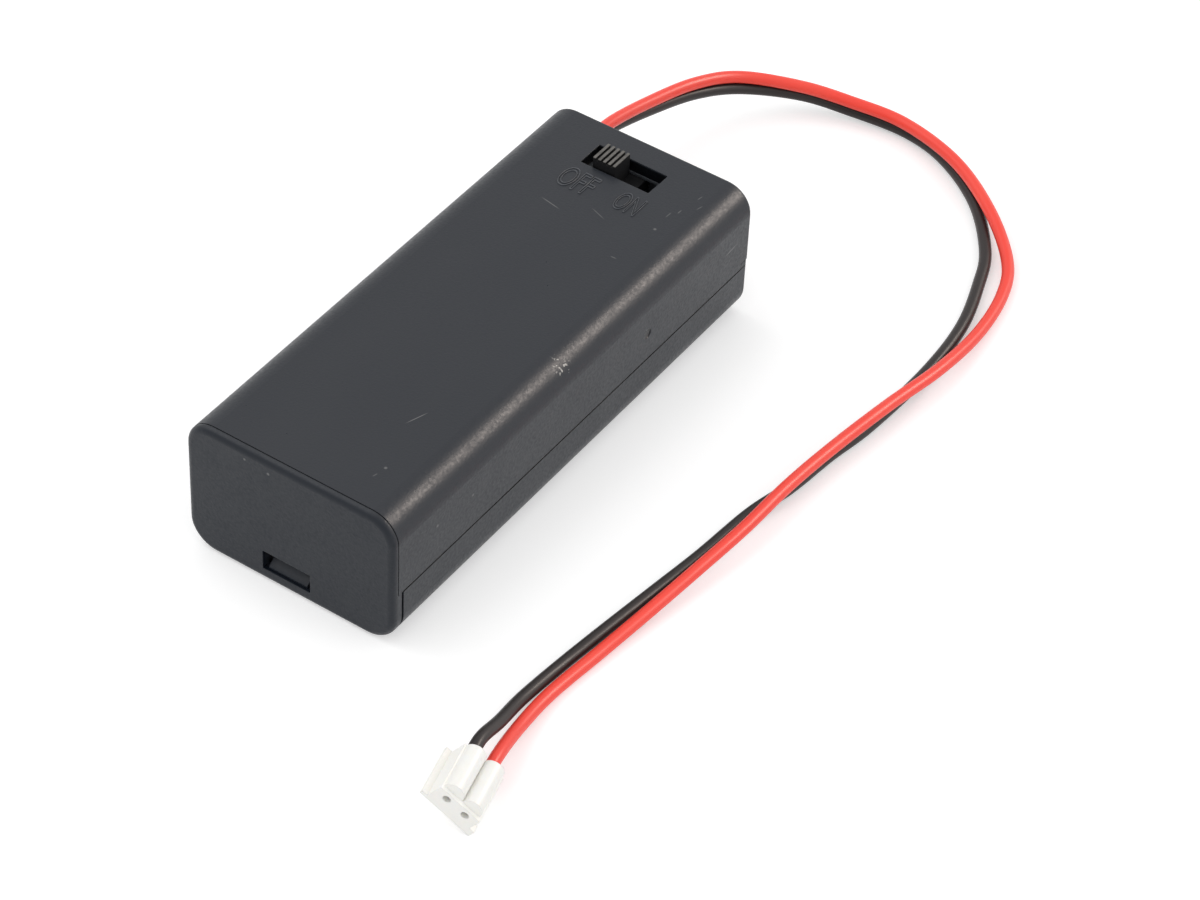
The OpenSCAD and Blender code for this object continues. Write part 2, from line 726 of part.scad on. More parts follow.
module red_wire() { color([0.93, 0.25, 0.22]) wire(red_route); }
module black_wire() { color([0.12, 0.12, 0.12]) wire(black_route); }
module link_wire() { color([0.93, 0.25, 0.22]) tube([tab_weld, on_weld], wire_d); }

// Half-round beads of solder on the faces away from the wires
module solder_joints() {
    color([0.72, 0.72, 0.74]) {
        for (s = [-1, 1]) translate([s * tab_x, tab_weld[1] - 0.2, tab_z + plate_t]) solder_bead();
        for (i = [0, 1]) translate([slot_x + i * switch_travel, slot_y + terminal_t / 2, on_weld[2]])
            rotate([-90, 0, 0]) solder_bead();
    }
}

module solder_bead() {
    intersection() {
        scale([1, 1, 0.7]) sphere(0.75, $fn = 24);
        cylinder(r = 2, h = 2);
    }
}

// ---------------------------------------------------------------- plug

// Local frame of the plug: mating face towards -Y, ridges on top, red way at +X
way_room = 1.9;
plug_front_t = 0.8;
module in_plug_frame() {
    translate(plug_pos) rotate([0, 0, plug_yaw]) rotate([0, plug_roll, 0]) children();
}

module plug_housing() {
    body_w = 2 * plug_pitch + 0.4;
    ridge_r = plug_pitch / 2 - 0.05;
    ridge_back = 0.5;
    wing_t = 0.5;
    foot_l = 0.9;
    front = -plug_l / 2;
    low = -plug_h / 2;
    color([0.95, 0.94, 0.90]) in_plug_frame() difference() {
        union() {
            block([-body_w / 2, front, low], [body_w / 2, -front, -low - ridge_r]);
            block([-body_w / 2 - plug_wing, front, low], [body_w / 2 + plug_wing, -front, low + wing_t]);
            block([body_w / 2 - wing_t, front, low],
                [body_w / 2 + plug_wing, front + foot_l, low + 2 * wing_t]);
            for (s = [-1, 1]) along_y(front + ridge_back, -front)
                translate([s * plug_pitch / 2, -low - ridge_r]) circle(ridge_r);
        }
        for (s = [-1, 1]) translate([s * plug_pitch / 2, 0, 0]) {
            block([-way_room / 2, front + plug_front_t, -way_room / 2], [way_room / 2, plug_l, way_room / 2]);
            rotate([90, 0, 0]) cylinder(d = 0.9, h = plug_l);
        }
    }
}

// Crimped socket: a box for the pin and a barrel closed on the wire
module plug_terminal(side) {
    box_w = way_room - 0.1;
    box_back = 0.6;
    front = plug_front_t - plug_l / 2;
    barrel_d = 1.5;
    barrel_end = plug_l / 2 - entry_depth - 0.05;
    color(steel_colour) in_plug_frame() translate([side * plug_pitch / 2, 0, 0]) difference() {
        union() {
            block([-box_w / 2, front, -way_room / 2], [box_w / 2, box_back, box_w - way_room / 2]);
            translate([0, box_back - 0.3, 0]) rotate([-90, 0, 0])
                cylinder(d = barrel_d, h = barrel_end - box_back + 0.3);
        }
        translate([0, front - 1, 0]) rotate([-90, 0, 0]) cylinder(d = 0.8, h = box_back - front + 1);
    }
}

module plug_terminal_red() { plug_terminal(1); }
module plug_terminal_black() { plug_terminal(-1); }

body_shell();
battery_cover();
switch_knob();
switch_contact();
switch_case();
switch_base();
switch_terminal_off();
switch_terminal_common();
switch_terminal_on();
negative_plate();
negative_spring();
positive_plate();
bridge_plate();
bridge_spring();
link_wire();
solder_joints();
red_wire();
black_wire();
plug_housing();
plug_terminal_red();
plug_terminal_black();
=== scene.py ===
"""Looks for an enclosed two-cell holder with a slide switch and a two-way lead.

Every solid of the box stays as the CAD made it. This script gives each one its
finish, lays the two wires as smooth tubes, winds the two springs and raises the
lettering beside the switch.
"""

import json
import logging
import math
from dataclasses import dataclass
from enum import Enum
from typing import Any, Sequence

import bpy
from mathutils import Matrix, Vector


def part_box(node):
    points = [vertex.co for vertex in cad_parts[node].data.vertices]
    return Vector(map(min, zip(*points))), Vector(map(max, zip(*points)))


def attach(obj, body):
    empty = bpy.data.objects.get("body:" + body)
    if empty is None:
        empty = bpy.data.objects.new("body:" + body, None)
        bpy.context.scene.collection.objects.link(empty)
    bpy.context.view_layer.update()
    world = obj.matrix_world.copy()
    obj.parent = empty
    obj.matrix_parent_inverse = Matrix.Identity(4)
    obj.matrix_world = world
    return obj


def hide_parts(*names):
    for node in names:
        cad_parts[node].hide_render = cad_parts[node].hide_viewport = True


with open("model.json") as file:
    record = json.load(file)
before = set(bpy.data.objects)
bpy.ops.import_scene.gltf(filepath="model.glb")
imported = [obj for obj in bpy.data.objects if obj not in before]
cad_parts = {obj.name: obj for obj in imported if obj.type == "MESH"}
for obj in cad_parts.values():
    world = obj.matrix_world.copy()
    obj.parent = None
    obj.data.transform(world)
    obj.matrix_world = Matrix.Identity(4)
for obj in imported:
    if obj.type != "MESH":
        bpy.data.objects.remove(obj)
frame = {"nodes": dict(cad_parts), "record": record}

MM = 0.001
HOLDER = "holder"
WHITE = (1.0, 1.0, 1.0, 1.0)
LOG = logging.getLogger("cell_holder")
Point = tuple[float, float, float]
Colour = tuple[float, float, float]
Span = tuple[float, float]


def metres(span_mm: Span) -> list[float]:
    """Two lengths in millimetres, in metres."""
    return [value * MM for value in span_mm]


class Slot(Enum):
    """Material slots of the record, one for each finish."""

    BOX = "box"
    KNOB = "knob"
    STEEL = "steel"
    CASE_STEEL = "case_steel"
    BRASS = "brass"
    PHENOLIC = "phenolic"
    SOLDER = "solder"
    RED_SLEEVE = "red_sleeve"
    BLACK_SLEEVE = "black_sleeve"
    PLUG = "plug"


class Facing(Enum):
    """Way along the box in which a spring's tip points, as a factor on +Y."""

    FRONT = -1
    REAR = 1


class Way(Enum):
    """The plug's two ways, as factors on its own +X."""

    RED = 1
    BLACK = -1


# ------------------------------------------------------------------ nodes and shader maths


class Nodes:
    """A node tree under construction, with the one method that adds nodes to it."""

    def __init__(self, tree: bpy.types.NodeTree) -> None:
        """Takes the tree to build in."""
        self.tree = tree

    def add(self, kind: str, settings: dict[str, Any] | None = None,
            sockets: dict[str | int, Any] | None = None) -> bpy.types.Node:
        """Adds a node.

        Args:
            kind: Type of the node.
            settings: Its settings, such as an operation, which are set first.
            sockets: What its input sockets get, by name or number.

        Returns:
            The new node.
        """
        node = self.tree.nodes.new(kind)
        for name, value in (settings or {}).items():
            setattr(node, name, value)
        for key, value in (sockets or {}).items():
            self.feed(node.inputs[key], value)
        return node

    def feed(self, socket: bpy.types.NodeSocket, value: Any) -> None:
        """Links an input socket, or writes a value on it.

        Args:
            socket: Input socket.
            value: Signal or output socket to link, or a plain value to write.
        """
        source = value.socket if isinstance(value, Signal) else value
        if isinstance(source, bpy.types.NodeSocket):
            self.tree.links.new(source, socket)
        else:
            socket.default_value = source


class Signal:
    """One output socket that can be combined with numbers and other signals."""

    def __init__(self, nodes: Nodes, socket: bpy.types.NodeSocket) -> None:
        """Takes the tree that the socket is in, and the socket."""
        self.nodes = nodes
        self.socket = socket

    def _math(self, operation: str, *terms: "Signal | float") -> "Signal":
        """Adds a Math node.

        Args:
            operation: What the node works out.
            terms: Its terms, in order.

        Returns:
            The result.
        """
        node = self.nodes.add("ShaderNodeMath", {"operation": operation}, dict(enumerate(terms)))
        return Signal(self.nodes, node.outputs[0])

    def __add__(self, other: "Signal | float") -> "Signal":
        """This signal plus a term."""
        return self._math("ADD", self, other)

    def __radd__(self, other: float) -> "Signal":
        """A number plus this signal."""
        return self._math("ADD", other, self)

    def __sub__(self, other: "Signal | float") -> "Signal":
        """This signal less a term."""
        return self._math("SUBTRACT", self, other)

    def __rsub__(self, other: float) -> "Signal":
        """A number less this signal."""
        return self._math("SUBTRACT", other, self)

    def __mul__(self, other: "Signal | float") -> "Signal":
        """This signal times a factor."""
        return self._math("MULTIPLY", self, other)

    def __rmul__(self, other: float) -> "Signal":
        """A number times this signal."""
        return self._math("MULTIPLY", other, self)

    def root(self) -> "Signal":
        """Square root of the signal."""
        return self._math("POWER", self, 0.5)

    def absolute(self) -> "Signal":
        """Size of the signal without its sign."""
        return self._math("ABSOLUTE", self)

    def largest(self, other: "Signal | float") -> "Signal":
        """Larger of this signal and another."""
        return self._math("MAXIMUM", self, other)

    def smallest(self, other: "Signal | float") -> "Signal":
        """Smaller of this signal and another."""
        return self._math("MINIMUM", self, other)

    def ramp(self, low: float, high: float) -> "Signal":
        """Smooth step from 0 to 1, which falls instead when low is above high.

        Args:
            low: Value of the signal at which the step is 0.
            high: Value at which it is 1.

        Returns:
            The step.
        """
        if low > high:
            return 1.0 - self.ramp(high, low)
        node = self.nodes.add("ShaderNodeMapRange", {"interpolation_type": "SMOOTHSTEP"},
                              {"Value": self, "From Min": low, "From Max": high})
        return Signal(self.nodes, node.outputs["Result"])

    def band(self, middle_mm: float, outer_mm: float, inner_mm: float) -> "Signal":
        """Mask of a band across an axis that this signal measures in metres.

        Args:
            middle_mm: Middle of the band.
            outer_mm: Distance from the middle at which the mask is 0.
            inner_mm: Distance at which it is 1.

        Returns:
            The mask.
        """
        return (self - middle_mm * MM).absolute().ramp(outer_mm * MM, inner_mm * MM)


class Surface(Nodes):
    """A material under construction, with the textures that its finish draws on."""

    SPOT_CORE = 0.35
    SCRATCH_CORE = 0.2
    SCRATCH_FADE = 0.3
    EDGE_SAMPLES = 4

    def __init__(self, name: str, colour: Colour, roughness: float) -> None:
        """Starts a plain material.

        Args:
            name: Name of the material.
            colour: Its base colour.
            roughness: Its roughness.
        """
        self.material = bpy.data.materials.new(name)
        self.material.use_nodes = True
        super().__init__(self.material.node_tree)
        self.shader = self.tree.nodes["Principled BSDF"]
        self.give("Base Color", (*colour, 1.0))
        self.give("Roughness", roughness)
        self.place = self.add("ShaderNodeTexCoord").outputs["Object"]
        split = self.add("ShaderNodeSeparateXYZ", sockets={"Vector": self.place})
        self.x, self.y, self.z = (Signal(self, out) for out in split.outputs)

    def give(self, name: str, value: Any) -> None:
        """Links one of the shader's inputs, or writes a value on it."""
        self.feed(self.shader.inputs[name], value)

    def so_far(self, name: str) -> Any:
        """What one of the shader's inputs has now: the source of its link, or its value."""
        socket = self.shader.inputs[name]
        return socket.links[0].from_socket if socket.is_linked else socket.default_value

    def noise(self, size_mm: float, detail: float = 2.0, stretch: Point = (1, 1, 1)) -> Signal:
        """Cloudy noise from 0 to 1.

        Args:
            size_mm: Rough size of one blot.
            detail: Octaves of finer noise.
            stretch: Factors by which the pattern is longer along each axis.

        Returns:
            The noise.
        """
        scale = [1.0 / factor for factor in stretch]
        drawn = self.add("ShaderNodeMapping", sockets={"Vector": self.place, "Scale": scale})
        node = self.add("ShaderNodeTexNoise", sockets={
            "Vector": drawn.outputs["Vector"], "Scale": 1.0 / (size_mm * MM), "Detail": detail})
        return Signal(self, node.outputs["Fac"])

    def offsets(self, point_mm: Point) -> list[Signal]:
        """Distances from a point along the three axes, in metres."""
        return [axis - value * MM for axis, value in zip((self.x, self.y, self.z), point_mm)]

    def near(self, centre_mm: Point, radius_mm: float) -> Signal:
        """Mask that is 1 at a point and fades to 0 at a radius.

        Args:
            centre_mm: The point.
            radius_mm: The radius.

        Returns:
            The mask.
        """
        dx, dy, dz = self.offsets(centre_mm)
        distance = (dx * dx + dy * dy + dz * dz).root()
        return distance.ramp(radius_mm * MM, self.SPOT_CORE * radius_mm * MM)

    def scratch(self, start_mm: Point, end_mm: Point, width_mm: float) -> Signal:
        """Mask of a fine straight scratch that fades towards its ends.

        Args:
            start_mm: One end.
            end_mm: The other end.
            width_mm: Width of the scratch.

        Returns:
            The mask.
        """
        run = (Vector(end_mm) - Vector(start_mm)) * MM
        half = run.length / 2
        run.normalize()
        dx, dy, dz = self.offsets(start_mm)
        along = dx * run.x + dy * run.y + dz * run.z
        across = (dx * dx + dy * dy + dz * dz - along * along).largest(0.0).root()
        ends = (along - half).absolute().ramp(half, self.SCRATCH_FADE * half)
        return across.ramp(width_mm * MM, self.SCRATCH_CORE * width_mm * MM) * ends

    def tint(self, mask: Signal, colour: Colour) -> None:
        """Blends the base colour towards another where a mask is 1.

        Args:
            mask: The mask.
            colour: The other colour.
        """
        mix = self.add("ShaderNodeMix", {"data_type": "RGBA"}, {
            "Factor": mask, "A": self.so_far("Base Color"), "B": (*colour, 1.0)})
        self.give("Base Color", mix.outputs["Result"])

    def soften(self, radius_mm: float) -> None:
        """Makes edges look rounded."""
        edge = self.add("ShaderNodeBevel", {"samples": self.EDGE_SAMPLES},
                        {"Radius": radius_mm * MM})
        self.give("Normal", edge.outputs["Normal"])

    def relief(self, height: Signal, depth_mm: float, pressed: bool = False) -> None:
        """Adds relief over what the surface has so far.

        Args:
            height: Height from 0 to 1.
            depth_mm: Relief where the height is 1.
            pressed: True for a dent instead of a rise.
        """
        bump = self.add("ShaderNodeBump", {"invert": pressed}, {
            "Height": height, "Distance": depth_mm * MM, "Normal": self.so_far("Normal")})
        self.give("Normal", bump.outputs["Normal"])

    def gap(self, mask: Signal, colour: Colour) -> None:
        """Paints shade where a mask is 1: dark and without gloss, as an open seam or slot looks in
        shadow.
        """
        self.tint(mask, colour)
        self.give("Metallic", mask)


# ------------------------------------------------------------------ finishes


@dataclass(frozen=True)
class Patches:
    """Cloudy patches of a second shade."""

    colour: Colour
    size_mm: float = 1.2
    detail: float = 3.0
    low: float = 0.45
    high: float = 0.75
    share: float = 0.5
    stretch: Point = (1, 1, 1)

    def draw(self, made: Surface) -> None:
        """Tints a surface with the patches."""
        cloud = made.noise(self.size_mm, self.detail, self.stretch)
        made.tint(self.share * cloud.ramp(self.low, self.high), self.colour)


@dataclass(frozen=True, kw_only=True)
class Finish:
    """A finish: its plain values, its grain and its patches."""

    name: str
    colour: Colour
    roughness: float
    metallic: float = 0.0
    gloss: float = 0.5
    grain_mm: float = 0.3
    cloud_grains: float = 12.0
    fine_grains: float = 1.5
    grain_detail: float = 3.0
    cloudiness: float = 0.12
    speckle: float = 0.0
    relief_mm: float = 0.002
    edge_mm: float = 0.06
    patches: Patches | None = None

    def material(self) -> bpy.types.Material:
        """Makes the material.

        Returns:
            The material with its grain, uneven gloss, soft edges and marks.
        """
        made = Surface(self.name, self.colour, self.roughness)
        made.give("Metallic", self.metallic)
        made.give("Specular IOR Level", self.gloss)
        cloud = made.noise(self.grain_mm * self.cloud_grains)
        fine = made.noise(self.grain_mm * self.fine_grains, self.grain_detail)
        made.give("Roughness", (cloud - 0.5) * self.cloudiness + (fine - 0.5) * self.speckle
                  + self.roughness)
        if self.edge_mm:
            made.soften(self.edge_mm)
        made.relief(made.noise(self.grain_mm, self.grain_detail), self.relief_mm)
        if self.patches:
            self.patches.draw(made)
        self.mark(made)
        return made.material

    def mark(self, made: Surface) -> None:
        """Adds what only this finish has, which is nothing for a plain one."""


@dataclass(frozen=True)
class Scratch:
    """A fine scratch between two points, with the share of its shade that shows."""

    start_mm: Point
    end_mm: Point
    width_mm: float
    share: float


TOP_MM = 17.7
SIDE_MM = 13.65
SCRATCHES = (
    Scratch((-4.95, 18.5, TOP_MM), (-1.7, 17.9, TOP_MM), 0.10, 0.7),
    Scratch((0.7, 20.35, TOP_MM), (3.2, 19.45, TOP_MM), 0.09, 0.5),
    Scratch((7.1, 14.75, TOP_MM), (8.0, 14.8, TOP_MM), 0.12, 0.5),
    Scratch((5.2, -20.5, TOP_MM), (6.25, -17.4, TOP_MM), 0.08, 0.9),
    Scratch((8.3, 23.8, TOP_MM), (8.35, 25.1, TOP_MM), 0.10, 0.5),
    Scratch((9.0, 25.2, TOP_MM), (9.05, 26.1, TOP_MM), 0.10, 0.6),
    Scratch((9.45, 28.5, TOP_MM), (9.6, 29.5, TOP_MM), 0.09, 0.5),
    Scratch((10.3, 27.0, TOP_MM), (10.55, 28.1, TOP_MM), 0.09, 0.5),
    Scratch((SIDE_MM, 28.3, 11.55), (SIDE_MM, 31.1, 11.8), 0.12, 0.8),
    Scratch((7.3, -28.9, TOP_MM), (7.5, -28.1, TOP_MM), 0.12, 0.4),
)
FLECKS = ((8.5, 21.5, TOP_MM), (7.65, -27.0, TOP_MM), (SIDE_MM, -19.7, 11.65),
          (SIDE_MM, -26.0, 12.05), (-5.7, -33.55, 16.35), (-2.6, -33.62, 16.0))


@dataclass(frozen=True, kw_only=True)
class BoxFinish(Finish):
    """Satin black moulding with its marks of use, and painted shade and highlights."""

    top_z: float
    name: str = "satin_black_moulding"
    colour: Colour = (0.0185, 0.0215, 0.028)
    roughness: float = 0.40
    gloss: float = 0.33
    grain_mm: float = 0.26
    speckle: float = 0.42
    relief_mm: float = 0.018
    edge_mm: float = 0.12
    patches: Patches = Patches((0.023, 0.026, 0.032), 9.0, 2.0, 0.35, 0.8, 0.5, (1, 2.5, 1))
    # Painted shade: the front end face is tinted darker and bluer, as it is turned away from the
    # light.
    painted_end_shade: Colour = (0.003, 0.006, 0.012)
    painted_end_shade_mm: Span = (-32.9, -33.5)
    painted_end_shade_share: float = 0.9
    scratch: Colour = (0.15, 0.15, 0.15)
    fleck: Colour = (0.17, 0.17, 0.17)
    fleck_mm: float = 0.25
    fleck_share: float = 0.6
    # Painted shade: near black inside the dimple on the right side, whose relief is real.
    dent_and_painted_shade: Colour = (0.002, 0.002, 0.003)
    dent_place_mm: Point = (SIDE_MM, 13.0, 11.0)
    dent_mm: float = 0.75
    dent_depth_mm: float = 0.5
    # Painted shade: near black and without gloss, in the seam along the sides and on the switch
    # slot's walls, where shade falls.
    gap_shade: Colour = (0.001, 0.001, 0.001)
    seam_z_mm: float = 7.15
    seam_half_mm: Span = (0.17, 0.09)
    seam_front_mm: Span = (-32.0, -31.85)
    seam_side_mm: Span = (13.35, 13.55)
    slot_middle_mm: Span = (-0.15, 28.1)
    slot_size_mm: Span = (9.3, 3.8)
    slot_rim_mm: Span = (0.1, 0.05)
    slot_below_mm: Span = (0.1, 0.3)
    slot_shade_share: float = 0.6
    # Painted highlight: lighter colour on the tops of the raised lettering, where it catches the
    # light.
    letter_highlight: Colour = (0.075, 0.080, 0.090)
    letter_highlight_above_mm: Span = (0.02, 0.08)
    rub: Colour = (0.50, 0.48, 0.45)
    rub_place_mm: Point = (12.7, -2.4, 17.0)
    rub_mm: float = 1.7
    rub_grain_mm: float = 0.40
    rub_step: Span = (0.59, 0.66)
    rub_share: float = 0.9

    def mark(self, made: Surface) -> None:
        """Adds the painted shade on the front end, the marks of use with painted shade in the
        dimple, the painted shade in the seam and on the slot walls, and the painted highlight on
        the raised lettering.

        Args:
            made: Surface to mark.
        """
        # Painted shade: darkens the front end face.
        painted_end_shade = made.y.ramp(*metres(self.painted_end_shade_mm))
        made.tint(painted_end_shade * self.painted_end_shade_share, self.painted_end_shade)
        for line in SCRATCHES:
            mask = made.scratch(line.start_mm, line.end_mm, line.width_mm)
            made.tint(mask * line.share, self.scratch)
        for place in FLECKS:
            made.tint(made.near(place, self.fleck_mm) * self.fleck_share, self.fleck)
        # Painted shade: the dimple is darkened where it is pressed in.
        dent_and_painted_shade = made.near(self.dent_place_mm, self.dent_mm)
        made.tint(dent_and_painted_shade, self.dent_and_painted_shade)
        made.relief(dent_and_painted_shade, self.dent_depth_mm, pressed=True)
        # Painted shade in the seam and on the slot walls.
        made.gap(self._seam_shade(made).largest(self._slot_shade(made) * self.slot_shade_share), self.gap_shade)
        # Painted highlight on the tops of the raised lettering.
        height = made.z - self.top_z
        made.tint(height.ramp(*metres(self.letter_highlight_above_mm)), self.letter_highlight)
        wear_and_highlight = made.noise(self.rub_grain_mm).ramp(*self.rub_step)
        made.tint(wear_and_highlight * made.near(self.rub_place_mm, self.rub_mm) * self.rub_share, self.rub)

    def _seam_shade(self, made: Surface) -> Signal:
        """Mask of the painted shade in the seam between the box and its cover, along the sides.

        Args:
            made: Surface that has the seam.

        Returns:
            The mask.
        """
        on_side = made.x.absolute().ramp(*metres(self.seam_side_mm))
        along = made.y.ramp(*metres(self.seam_front_mm))
        return made.z.band(self.seam_z_mm, *self.seam_half_mm) * on_side * along

    def _slot_shade(self, made: Surface) -> Signal:
        """Mask of the painted shade on the switch slot's walls, below the top face.

        Args:
            made: Surface that has the slot.

        Returns:
            The mask.
        """
        depth = self.top_z - made.z
        mask = depth.ramp(*metres(self.slot_below_mm))
        for axis, middle, size in zip((made.x, made.y), self.slot_middle_mm, self.slot_size_mm):
            mask = mask * axis.band(middle, *(size / 2 + rim for rim in self.slot_rim_mm))
        return mask


@dataclass(frozen=True, kw_only=True)
class KnobFinish(Finish):
    """Dark knob whose rib tops are painted a pale warm grey as a highlight."""

    top_z: float
    name: str = "knob_with_painted_rib_highlight"
    colour: Colour = (0.012, 0.012, 0.013)
    roughness: float = 0.55
    gloss: float = 0.12
    relief_mm: float = 0.004
    edge_mm: float = 0.05
    # Painted highlight: pale warm grey on the rib tops, where they catch the light.
    wear_and_highlight: Colour = (0.155, 0.148, 0.138)
    rib_highlight_below_mm: Span = (0.10, 0.03)
    rib_highlight_grain_mm: float = 0.6
    rib_highlight_step: Span = (0.2, 0.6)
    least_highlight: float = 0.6

    def mark(self, made: Surface) -> None:
        """Adds the painted highlight on the rib tops, uneven but never absent.

        Args:
            made: Surface to mark.
        """
        # Painted highlight on the rib tops, made uneven by noise.
        patchy = made.noise(self.rib_highlight_grain_mm).ramp(*self.rib_highlight_step)
        rib_highlight = patchy * (1.0 - self.least_highlight) + self.least_highlight
        depth = self.top_z - made.z
        made.tint(depth.ramp(*metres(self.rib_highlight_below_mm)) * rib_highlight, self.wear_and_highlight)


@dataclass(frozen=True, kw_only=True)
class SleeveFinish(Finish):
    """Soft wire sleeve with slow changes of shade and a faint sheen."""

    grain_mm: float = 0.4
    edge_mm: float = 0.0
    sheen: float = 0.15
    sheen_roughness: float = 0.25

    def mark(self, made: Surface) -> None:
        """Adds the sheen."""
        made.give("Coat Weight", self.sheen)
        made.give("Coat Roughness", self.sheen_roughness)


@dataclass(frozen=True, kw_only=True)
class NylonFinish(Finish):
    """Natural white nylon, a little milky and warmer in its thick parts."""

    name: str = "white_nylon"
    colour: Colour = (0.95, 0.94, 0.90)
    roughness: float = 0.42
    relief_mm: float = 0.004
    edge_mm: float = 0.12
    patches: Patches = Patches((0.93, 0.90, 0.81), 2.5, 2.0, 0.4, 0.8, 0.4)
    milky: float = 0.15
    milky_mm: float = 0.8
    milky_reach: Colour = (1.0, 0.8, 0.6)

    def mark(self, made: Surface) -> None:
        """Lets light into the nylon.

        Args:
            made: Surface to mark.
        """
        made.give("Subsurface Weight", self.milky)
        made.give("Subsurface Scale", self.milky_mm * MM)
        made.give("Subsurface Radius", self.milky_reach)


STEEL = Finish(
    name="nickel_plated_sheet", colour=(0.62, 0.61, 0.58), roughness=0.30, metallic=1.0,
    grain_mm=0.5, patches=Patches((0.50, 0.48, 0.44), 1.5, share=0.6, stretch=(6, 1, 1)))
# Painted shade: the switch case is near black to stand in for the shade deep inside the switch
# slot.
CASE_STEEL = Finish(
    name="case_sheet_painted_shade", colour=(0.052, 0.058, 0.066), roughness=0.5,
    grain_mm=0.4, patches=Patches((0.062, 0.067, 0.074)))
BRASS = Finish(
    name="plain_brass", colour=(0.72, 0.55, 0.28), roughness=0.34, metallic=1.0,
    patches=Patches((0.58, 0.42, 0.20)))
# Painted shade: the switch base is a dark grey, chosen to stand in for the shade deep in the
# switch slot.
PHENOLIC = Finish(
    name="switch_base_painted_shade", colour=(0.080, 0.088, 0.096), roughness=0.6,
    patches=Patches((0.098, 0.103, 0.110)))
SOLDER = Finish(
    name="dull_solder", colour=(0.55, 0.55, 0.57), roughness=0.4, metallic=1.0,
    patches=Patches((0.42, 0.42, 0.44)))
RED_SLEEVE = SleeveFinish(
    name="red_sleeve", colour=(0.95, 0.060, 0.038), roughness=0.42, gloss=0.35,
    patches=Patches((0.96, 0.082, 0.052), 6.0, 2.0, low=0.4, share=0.45))
BLACK_SLEEVE = SleeveFinish(
    name="black_sleeve", colour=(0.016, 0.0115, 0.011), roughness=0.45, gloss=0.3,
    patches=Patches((0.023, 0.017, 0.016), 6.0, 2.0, low=0.4, share=0.45))


# ------------------------------------------------------------------ tubes


class TubeGroup(Nodes):
    """Geometry Nodes group that sweeps a round section along its host curve."""

    def __init__(self) -> None:
        """Builds the group, with named inputs for its sizes and its finish."""
        super().__init__(bpy.data.node_groups.new("round_tube", "GeometryNodeTree"))
        kinds = {"Line": "NodeSocketGeometry", "Radius": "NodeSocketFloat",
                 "Sides": "NodeSocketInt", "Finish": "NodeSocketMaterial"}
        face = self.tree.interface
        self.inputs = {name: face.new_socket(name, in_out="INPUT", socket_type=kind).identifier
                       for name, kind in kinds.items()}
        face.new_socket("Tube", in_out="OUTPUT", socket_type="NodeSocketGeometry")
        given = self.add("NodeGroupInput").outputs
        section = self.add("GeometryNodeCurvePrimitiveCircle", sockets={
            "Resolution": given["Sides"], "Radius": given["Radius"]})
        sweep = self.add("GeometryNodeCurveToMesh", sockets={
            "Curve": given["Line"], "Profile Curve": section.outputs["Curve"],
            "Fill Caps": True})
        shade = self.add("GeometryNodeSetShadeSmooth",
                         sockets={"Geometry": sweep.outputs["Mesh"]})
        real = self.add("GeometryNodeRealizeInstances",
                        sockets={"Geometry": shade.outputs["Geometry"]})
        paint = self.add("GeometryNodeSetMaterial", sockets={
            "Geometry": real.outputs["Geometry"], "Material": given["Finish"]})
        self.add("NodeGroupOutput", sockets={"Tube": paint.outputs["Geometry"]})

    def sweep(self, host: bpy.types.Object, values: dict[str, Any]) -> None:
        """Puts the group on a host curve.

        Args:
            host: Curve that the tube follows.
            values: Values of the group's inputs, by name.
        """
        modifier = host.modifiers.new("sweep", "NODES")
        modifier.node_group = self.tree
        for name, value in values.items():
            modifier[self.inputs[name]] = value


def settled(host: bpy.types.Object, name: str) -> bpy.types.Object:
    """Replaces a host object by the plain mesh that its modifiers make.

    Args:
        host: Curve or text object.
        name: Name of the mesh object.

    Returns:
        The mesh object.
    """
    graph = bpy.context.evaluated_depsgraph_get()
    mesh = bpy.data.meshes.new_from_object(host.evaluated_get(graph))
    mesh.name = name
    bpy.data.objects.remove(host)
    piece = bpy.data.objects.new(name, mesh)
    bpy.context.scene.collection.objects.link(piece)
    LOG.info("%s: %d faces", name, len(mesh.polygons))
    return piece


@dataclass(frozen=True)
class Tube:
    """A smooth round tube along a path, with its path and radius in metres."""

    name: str
    path: Sequence[Vector]
    radius: float
    sides: int

    def build(self, group: TubeGroup, finish: bpy.types.Material) -> bpy.types.Object:
        """Makes the tube.

        Args:
            group: Geometry Nodes group that sweeps the section.
            finish: Material of the tube.

        Returns:
            The mesh object.
        """
        curve = bpy.data.curves.new(self.name, "CURVE")
        curve.dimensions = "3D"
        spline = curve.splines.new("POLY")
        spline.points.add(len(self.path) - 1)
        for point, place in zip(spline.points, self.path):
            point.co = (*place, 1.0)
        host = bpy.data.objects.new(self.name + "_line", curve)
        bpy.context.scene.collection.objects.link(host)
        group.sweep(host, {"Radius": self.radius, "Sides": self.sides, "Finish": finish})
        return settled(host, self.name)


def smooth(points_mm: Sequence[Point], steps: int) -> list[Vector]:
    """Curve through all the points, evenly stepped between each two.

    Args:
        points_mm: Points of the curve.
        steps: Steps from one point to the next.

    Returns:
        Points of the curve, in metres.
    """
    path = [Vector(point) for point in points_mm]
    path = [2 * path[0] - path[1], *path, 2 * path[-1] - path[-2]]
    curve = []
    for before, start, end, after in zip(path, path[1:], path[2:], path[3:]):
        for step in range(steps):
            t = step / steps
            curve.append(0.5 * (2 * start + (end - before) * t
                                + (2 * before - 5 * start + 4 * end - after) * t * t
                                + (3 * start - before - 3 * end + after) * t ** 3))
    return [point * MM for point in (*curve, path[-2])]


# ------------------------------------------------------------------ lead


